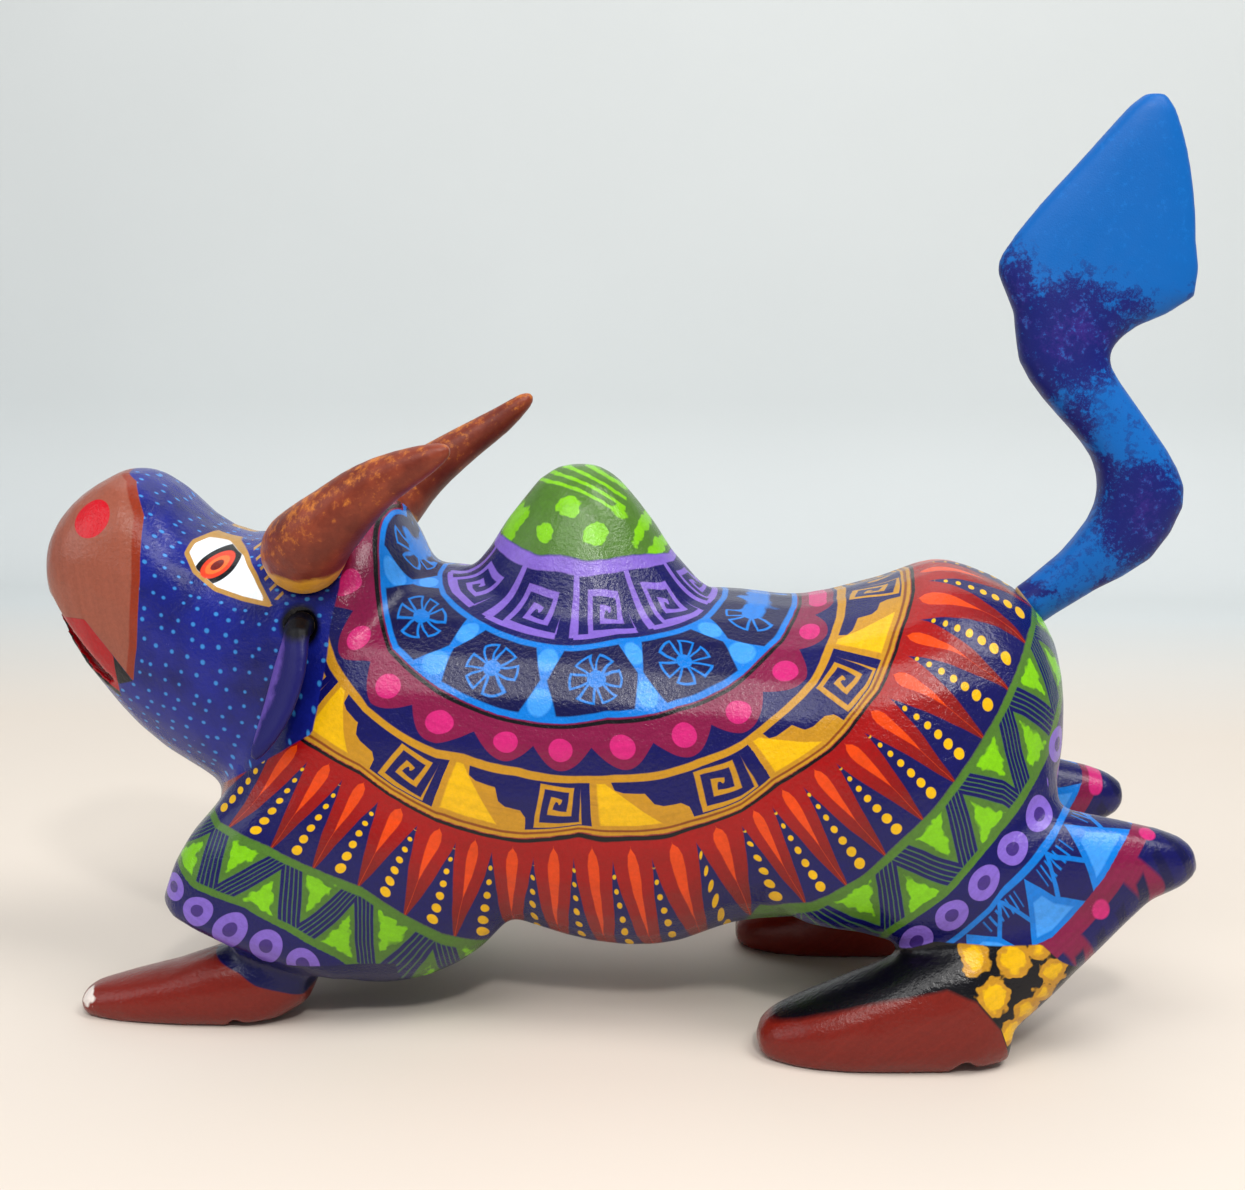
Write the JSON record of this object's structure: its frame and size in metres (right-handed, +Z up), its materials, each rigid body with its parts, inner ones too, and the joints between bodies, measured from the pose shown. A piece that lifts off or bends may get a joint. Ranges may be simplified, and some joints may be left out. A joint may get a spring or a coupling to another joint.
{
  "type": "carved bull figure",
  "caption": "Crouching humped bull figure in painted carved wood, with a raised tail, swept horns and hanging ears that plug into its body.",
  "frame": {"origin": "on the floor under the middle of the whole figure's bounding box", "axes": "+Z up, the bull faces -X, so its left side is -Y; +Y is across the figure"},
  "size_m": [0.2396, 0.0866, 0.1892],
  "materials": {
    "painted_body": "acrylic paint in many bands over wood, satin varnish",
    "painted_tail": "sponged blue acrylic paint, satin",
    "painted_horn": "mottled red-brown and gold acrylic paint, satin",
    "painted_ear": "dark blue acrylic paint with a violet edge, satin",
    "bare_dowel": "bare turned wood"
  },
  "bodies": {
    "body": {"body": "painted_body"},
    "tail": {"tail": "painted_tail"},
    "horn_left": {"horn_left": "painted_horn", "horn_dowel_left": "bare_dowel"},
    "horn_right": {"horn_right": "painted_horn", "horn_dowel_right": "bare_dowel"},
    "ear_left": {"ear_left": "painted_ear"},
    "ear_right": {"ear_right": "painted_ear"}
  },
  "joints": [
    {"name": "tail_pull", "type": "slide", "parent": "body", "child": "tail", "axis": [0.8, 0, 0.6], "range_m": [0, 0.018]},
    {"name": "horn_left_pull", "type": "slide", "parent": "body", "child": "horn_left", "axis": [-0.0501, -0.7818, 0.6215], "range_m": [0, 0.013]},
    {"name": "horn_right_pull", "type": "slide", "parent": "body", "child": "horn_right", "axis": [-0.0501, 0.7818, 0.6215], "range_m": [0, 0.013]},
    {"name": "ear_left_pull", "type": "slide", "parent": "body", "child": "ear_left", "axis": [-0.1, -0.9703, 0.2201], "range_m": [0, 0.01]},
    {"name": "ear_right_pull", "type": "slide", "parent": "body", "child": "ear_right", "axis": [-0.1, 0.9703, 0.2201], "range_m": [0, 0.01]}
  ]
}
